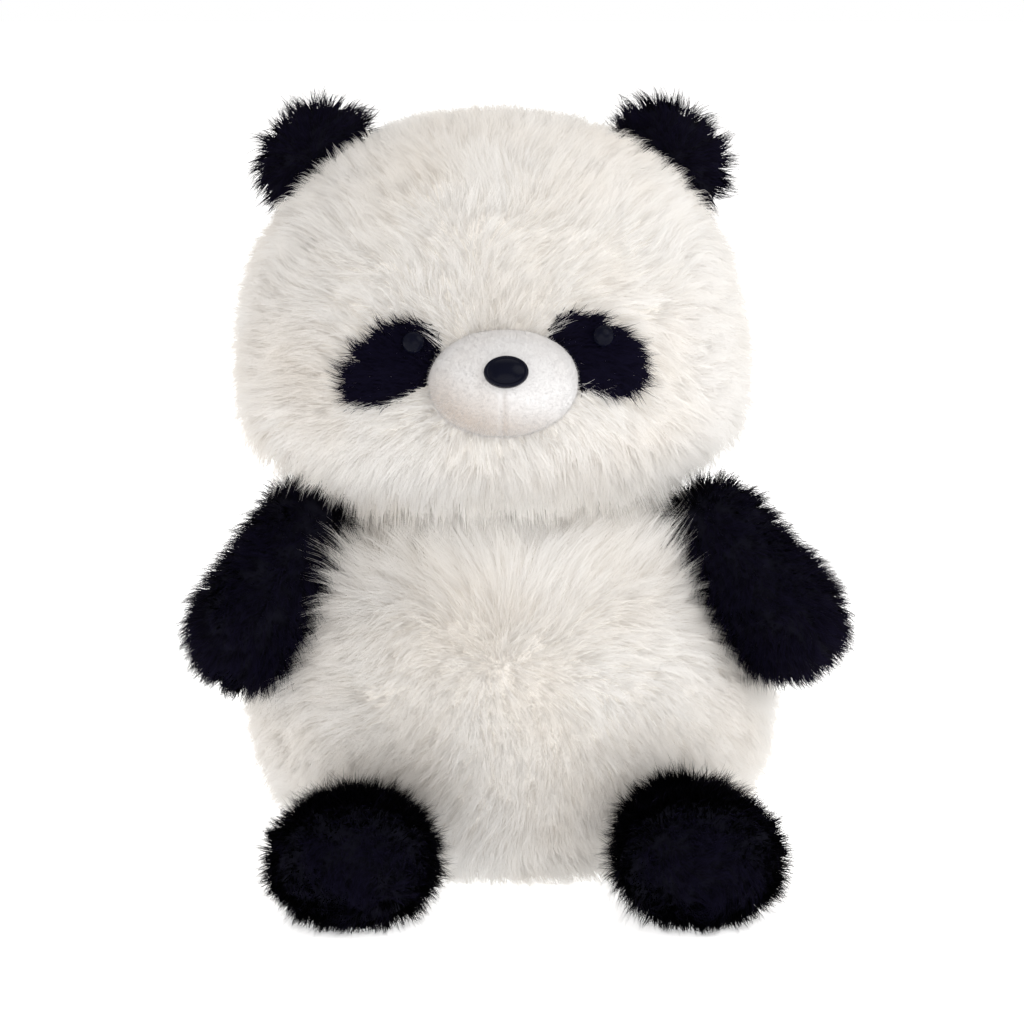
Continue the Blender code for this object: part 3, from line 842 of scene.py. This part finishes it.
def muzzle():
    """The short-napped muzzle, puffed by its filling, with a seam down from the nose."""
    low, high = (np.array(c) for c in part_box("muzzle_cover"))
    centre = (low + high) / 2
    obj = padded(
        "muzzle_cover_nap", ("muzzle_cover",), 1.6 * MM, 0.1 * MM, swell=1.0 * MM, pressure=3.0, rounds=3
    )
    subdivide = obj.modifiers.new("subdivide", "SUBSURF")
    subdivide.levels = subdivide.render_levels = 1
    applied(obj)
    mesh = obj.data
    co, normals = coordinates(mesh), vertex_normals(mesh)
    below = (co[:, 2] < middle("nose_button")[2]) & (co[:, 1] < centre[1] + 4 * MM)
    crease = np.exp(-(((co[:, 0] - centre[0]) / (0.8 * MM)) ** 2)) * below
    co -= normals * crease[:, None] * 0.35 * MM
    behind = np.clip((co[:, 1] - centre[1]) / (high[1] - centre[1]), 0, 1)
    co[:, 1] += behind * MUZZLE_SUNK
    set_coordinates(mesh, co)
    mesh.materials.append(SHORT_NAP)
    mesh.shade_smooth()
    stands_for(obj, "muzzle_cover", "head")

    rng = np.random.default_rng(77)
    skin = Skin(obj, ("muzzle_cover",))
    roots, normals = skin.scatter(NAP_FIBRES, rng)
    front = roots[:, 1] < high[1] - 3 * MM
    roots, normals = roots[front], normals[front]
    flow = unit(across(roots - np.array([centre[0], low[1], centre[2]]), normals))
    points, lit = strands(roots, normals, flow, NAP, rng)
    tint = rng.uniform(0.1, 0.9, len(points))
    mesh = pile_mesh("muzzle_nap_fibres", points, lit, NAP["width"], tint, rng)
    fibres = link("muzzle_nap_fibres", mesh, NAP_FIBRE)
    fibres.visible_shadow = False
    stands_for(fibres, "muzzle_cover", "head")
    filling("muzzle_filling", "muzzle_stuffing", "head", 1.6 * MM, 41)


def torso():
    panels = TORSO_PANELS + ("base_panel",)
    reach = reaching(HEAD_PANELS, (0, 0, 1), most=50 * MM)
    seams = (
        ((0, 0, 0), (0, 1, 0), 1.8 * MM),
        ((0, 0, 0), (0, 0, 1), 7 * MM),
    )
    skin_obj = padded("torso_skin", panels, SKIN_VOXEL, SKIN_DEPTH, seams)
    bulge(skin_obj, HEAD_PANELS, (0, 0, 1), most=9 * MM, share=0.3)
    skin = Skin(skin_obj, panels)
    low, high = (np.array(c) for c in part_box("belly_panel"))
    middle_x = (low[0] + high[0]) / 2 - 3 * MM
    parting = [np.array([middle_x, low[1], low[2] + (high[2] - low[2]) * share]) for share in (0.64, 0.86)]
    flow = torso_flow(parting)
    short = (LONG_WHITE | dict(length=5 * MM, locks=0.06), UNDER_WHITE | dict(length=4 * MM))
    for k, panel in enumerate(panels):
        rests = panel == "base_panel"
        looks = short if rests else (LONG_WHITE, UNDER_WHITE)
        coat(skin, panel, "torso", flow, looks, WHITE, 50 + k, "white_pile", None, None if rests else reach)
    bpy.data.objects.remove(skin_obj)
    filling("torso_filling", "torso_stuffing", "torso", 2.2 * MM, 61)


def limb(body, panels, joint, seed):
    obj = padded(body + "_skin", panels, 3.4 * MM, BLACK_DEPTH, swell=2 * MM)
    skin = Skin(obj, panels)
    root = joint_place(joint)
    everything = node_points(*panels)
    tip = everything[np.argmax(np.linalg.norm(everything - root, axis=1))]
    flow = limb_flow(root, tip, seed)
    looks = (LONG_BLACK, UNDER_BLACK)
    mood = reaching(HEAD_PANELS, (0, 0, 1), most=20 * MM) if body.startswith("arm") else None
    for k, panel in enumerate(panels):
        coat(skin, panel, body, flow, looks, BLACK, seed + k, "black_pile", None, mood)
    bpy.data.objects.remove(obj)
    filling(body + "_filling", body + "_stuffing", body, 1.8 * MM, seed + 5)


def ear(side, seed):
    panels = (f"ear_{side}_front", f"ear_{side}_back")
    obj = padded(f"ear_{side}_skin", panels, 2.4 * MM, -1.0 * MM, swell=1.5 * MM)
    skin = Skin(obj, panels)
    root = joint_place(f"ear_{side}_fold")
    swirl = Wander(seed, 15 * MM)

    def flow(p, n):
        return unit(p - root) + swirl.at(p) * 0.25

    looks = (LONG_BLACK | dict(length=11 * MM), UNDER_BLACK)
    for k, panel in enumerate(panels):
        coat(skin, panel, f"ear_{side}", flow, looks, BLACK, seed + k, "black_pile")
    bpy.data.objects.remove(obj)


def tail():
    obj = padded("tail_skin", ("tail_cover",), 2.6 * MM, 3 * MM, swell=1.5 * MM)
    skin = Skin(obj, ("tail_cover",))
    root = joint_place("tail_wag")
    flow = limb_flow(root, middle("tail_cover") * 2 - root, 91)
    coat(skin, "tail_cover", "tail", flow, (LONG_WHITE, UNDER_WHITE), WHITE, 92, "white_pile")
    bpy.data.objects.remove(obj)
    filling("tail_filling", "tail_stuffing", "tail", 1.2 * MM, 95)


# Buttons are turned: shares of the radius and of the dome's height, from the top down to the stem's end
STEM = ((0.97, 0.0), (0.25, 0.0), (0.25, -2.4), (0.0, -2.4))
EYE_PROFILE = tuple((math.sin(t), math.cos(t)) for t in np.linspace(0, math.pi / 2, 12)) + STEM
NOSE_DOME = ((0.0, 1.0), (0.2, 0.985), (0.4, 0.93), (0.58, 0.84), (0.72, 0.72), (0.79, 0.63))
NOSE_RIM = ((0.815, 0.60), (0.84, 0.65), (0.89, 0.68), (0.94, 0.62), (0.985, 0.45), (1.0, 0.25), (1.0, 0.06))
NOSE_SKIRT = ((0.985, -0.15), (0.94, -0.28))  # it closes on the muzzle, which curves away from the button
NOSE_PROFILE = NOSE_DOME + NOSE_RIM + NOSE_SKIRT + STEM[1:]
EYE_SHOWN = 0.72  # the eye's dome, half buried in pile, is a little smaller than the CAD button


def button_place(node, washer):
    """The middle of a CAD button's base, its three axes, its half widths and its height."""
    ring = node_points(washer)
    centre = ring.mean(axis=0)
    axis = np.linalg.eigh(np.cov((ring - centre).T))[1][:, 0]
    rel = node_points(node) - centre
    axis = axis * np.sign(rel.mean(axis=0) @ axis)
    up = rel @ axis
    flat = across(rel, axis)
    far = np.linalg.norm(flat, axis=1)
    wide = flat[far.argmax()] / far.max()
    high = np.cross(axis, wide)
    base = up[far > far.max() * 0.7].min()
    halves = np.abs(rel @ wide).max(), np.abs(rel @ high).max()
    return centre + axis * base, (wide, high, axis), halves, up.max() - base


def turned_button(name, node, washer, profile, shown=1.0, around=56):
    """A moulded button: the profile turned about the CAD button's own axis."""
    origin, (wide, high, axis), halves, height = button_place(node, washer)
    bm = bmesh.new()
    rows = []
    for radius, level in profile:
        row = []
        for k in range(around if radius else 1):
            angle = math.tau * k / around
            offset = wide * math.cos(angle) * halves[0] + high * math.sin(angle) * halves[1]
            row.append(bm.verts.new(origin + offset * radius * shown + axis * level * height * shown))
        rows.append(row)
    for upper, lower in zip(rows, rows[1:]):
        for k in range(around):
            quad = [upper[k % len(upper)], lower[k % len(lower)]]
            quad += [lower[(k + 1) % len(lower)], upper[(k + 1) % len(upper)]]
            bm.faces.new(list(dict.fromkeys(quad)))
    bmesh.ops.recalc_face_normals(bm, faces=bm.faces)
    mesh = bpy.data.meshes.new(name)
    bm.to_mesh(mesh)
    bm.free()
    mesh.shade_smooth()
    made = link(name, mesh, BLACK_PLASTIC)
    stands_for(made, node, "head")


def eyes_and_nose():
    turned_button("nose", "nose_button", "nose_washer", NOSE_PROFILE)
    for side in ("left", "right"):
        turned_button(f"eye_{side}_dome", f"eye_{side}", f"eye_washer_{side}", EYE_PROFILE, EYE_SHOWN)


def label():
    """The blank care label: a ribbon folded over, stitched where it leaves the seam."""
    co = node_points("blank_label")
    centre = co.mean(axis=0)
    axes = np.linalg.eigh(np.cov((co - centre).T))[1].T
    through = axes[0]
    body_middle = middle("torso_stuffing")
    out, wide = sorted(axes[1:], key=lambda a: -abs(a @ (centre - body_middle)))
    out = out * np.sign(out @ (centre - body_middle))
    half_out, half_wide, half_through = (np.abs((co - centre) @ a).max() for a in (out, wide, through))
    path = [(-half_out, half_through * 0.7), (half_out - half_through, half_through)]
    for angle in np.linspace(math.pi / 2, -math.pi / 2, 7)[1:-1]:
        bend = half_through * math.cos(angle), half_through * math.sin(angle)
        path.append((half_out - half_through + bend[0], bend[1]))
    path += [(half_out - half_through, -half_through), (-half_out, -half_through * 0.7)]
    fine = []
    for (a, b), (c, d) in zip(path, path[1:]):
        steps = max(1, round(math.hypot(c - a, d - b) / (1.5 * MM)))
        fine += [(a + (c - a) * k / steps, b + (d - b) * k / steps) for k in range(steps)]
    fine.append(path[-1])
    columns = 12
    bm = bmesh.new()
    grid = []
    for a, b in fine:
        row = []
        for k in range(columns + 1):
            across_ribbon = (2 * k / columns - 1) * half_wide
            wave = math.sin(across_ribbon / (4 * MM)) * 0.8 * MM * (a + half_out) / (2 * half_out)
            row.append(bm.verts.new(centre + out * a + wide * across_ribbon + through * (b + wave)))
        grid.append(row)
    for lower, upper in zip(grid, grid[1:]):
        for k in range(columns):
            bm.faces.new((lower[k], lower[k + 1], upper[k + 1], upper[k]))
    mesh = bpy.data.meshes.new("label_ribbon")
    bm.to_mesh(mesh)
    bm.free()
    made = link("label_ribbon", mesh, RIBBON)
    thick = made.modifiers.new("thick", "SOLIDIFY")
    thick.thickness = 0.22 * MM
    applied(made)
    made.data.shade_smooth()
    stands_for(made, "blank_label", "torso")


def cord(name, node, body, radius, plies=3, twist=3.2 * MM):
    """A twisted thread round the ring that a CAD thread follows."""
    low, high = (np.array(c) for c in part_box(node))
    centre = (low + high) / 2
    ring = (high[0] - low[0]) / 2 - radius
    turns = round(math.tau * ring / twist)
    steps, around = turns * 10, 6
    bm = bmesh.new()
    for ply in range(plies):
        rows = []
        for k in range(steps):
            angle = math.tau * k / steps
            coil = math.tau * (k * turns / steps + ply / plies)
            outwards = np.array([math.cos(angle), math.sin(angle), 0])
            upwards = np.array([0, 0, 1.0])
            offset = (outwards * math.cos(coil) + upwards * math.sin(coil)) * radius * 0.5
            core = centre + outwards * ring + offset
            row = []
            for j in range(around):
                turn = math.tau * j / around
                rim = outwards * math.cos(turn) + upwards * math.sin(turn)
                row.append(bm.verts.new(core + rim * radius * 0.5))
            rows.append(row)
        for k in range(steps):
            here, there = rows[k], rows[(k + 1) % steps]
            for j in range(around):
                bm.faces.new((here[j], here[(j + 1) % around], there[(j + 1) % around], there[j]))
    bmesh.ops.recalc_face_normals(bm, faces=bm.faces)
    mesh = bpy.data.meshes.new(name)
    bm.to_mesh(mesh)
    bm.free()
    mesh.shade_smooth()
    made = link(name, mesh, THREAD)
    stands_for(made, node, body)


def hidden_pieces():
    """What the pile hides: washers inside the face, the thread and the filling in the neck."""
    for name in ("eye_washer_left", "eye_washer_right", "nose_washer"):
        NODES[name].data.materials.clear()
        NODES[name].data.materials.append(CLEAR_PLASTIC)
    cord("neck_cord", "neck_seam_thread", "neck", 0.7 * MM)
    filling("neck_filling", "neck_stuffing", "neck", 0.6 * MM, 71)


# Studio

ROOM_LIGHT = 0.76
FLOOR_GLOW = 0.75
FLOOR_HALF = 6.0
LAMP_TARGET = Vector((0, 0, 0.13))
LAMPS = (  # name, place, width, power, colour
    ("key", (1.1, -1.0, 1.2), 1.4, 9.5, (1.0, 0.995, 0.99)),
    ("side", (1.6, -0.3, 0.5), 1.2, 2.6, (0.97, 0.98, 1.0)),
    ("top", (0.1, 0.2, 1.6), 1.4, 3.5, (1, 1, 1)),
    ("fill", (-1.3, -0.9, 0.5), 1.2, 1.8, (1.0, 0.93, 0.86)),
    ("front", (0.1, -1.7, 0.12), 1.4, 6.2, (1.0, 0.97, 0.94)),
    ("back", (-0.7, 1.5, 0.8), 1.4, 7, (1.0, 0.99, 0.98)),
)


def studio():
    scene = bpy.context.scene
    scene.view_settings.view_transform = "Standard"
    mesh = bpy.data.meshes.new("floor")
    corners = [(x * FLOOR_HALF, y * FLOOR_HALF, 0) for x, y in ((-1, -1), (1, -1), (1, 1), (-1, 1))]
    mesh.from_pydata(corners, [], [(0, 1, 2, 3)])
    paint = Nodes("floor")
    paint.shader.inputs["Base Color"].default_value = (0.9, 0.9, 0.9, 1)
    paint.shader.inputs["Roughness"].default_value = 0.9
    paint.shader.inputs["Emission Color"].default_value = (1, 1, 1, 1)
    paint.shader.inputs["Emission Strength"].default_value = FLOOR_GLOW
    floor = link("floor", mesh, paint.material)

    world = bpy.data.worlds.new("studio")
    scene.world = world
    world.use_nodes = True
    tree = world.node_tree
    backdrop = tree.nodes["Background"]
    backdrop.inputs["Color"].default_value = (1, 1, 1, 1)
    room = tree.nodes.new("ShaderNodeBackground")
    room.inputs["Color"].default_value = (1.0, 0.975, 0.95, 1)
    room.inputs["Strength"].default_value = ROOM_LIGHT
    path = tree.nodes.new("ShaderNodeLightPath")
    both = tree.nodes.new("ShaderNodeMixShader")
    tree.links.new(path.outputs["Is Camera Ray"], both.inputs[0])
    tree.links.new(room.outputs[0], both.inputs[1])
    tree.links.new(backdrop.outputs[0], both.inputs[2])
    tree.links.new(both.outputs[0], tree.nodes["World Output"].inputs["Surface"])

    for name, place, width, power, colour in LAMPS:
        lamp = bpy.data.lights.new(name, "AREA")
        lamp.shape = "DISK"
        lamp.size = width
        lamp.energy = power
        lamp.color = colour
        obj = bpy.data.objects.new(name, lamp)
        scene.collection.objects.link(obj)
        obj.location = place
        obj.rotation_euler = (LAMP_TARGET - obj.location).to_track_quat("-Z", "Y").to_euler()


def camera():
    lens = bpy.data.cameras.new("camera")
    lens.sensor_width = SENSOR_WIDTH
    lens.lens = SENSOR_WIDTH * CAMERA_DISTANCE / FRAME_WIDTH
    obj = bpy.data.objects.new("camera", lens)
    bpy.context.scene.collection.objects.link(obj)
    towards = Vector((0, -math.cos(CAMERA_HEIGHT), math.sin(CAMERA_HEIGHT)))
    obj.location = CAMERA_TARGET + towards * CAMERA_DISTANCE
    obj.rotation_euler = (-towards).to_track_quat("-Z", "Y").to_euler()
    bpy.context.scene.camera = obj


head()
muzzle()
torso()
for side, start in (("left", 110), ("right", 130)):
    arm_panels = (f"arm_{side}_outer_panel", f"arm_{side}_inner_panel")
    limb(f"arm_{side}", arm_panels, f"arm_{side}_lift", start)
    leg_panels = (f"leg_{side}_upper_panel", f"leg_{side}_lower_panel")
    limb(f"leg_{side}", leg_panels, f"leg_{side}_lift", start + 10)
    ear(side, start + 50)
tail()
eyes_and_nose()
label()
hidden_pieces()
studio()
camera()
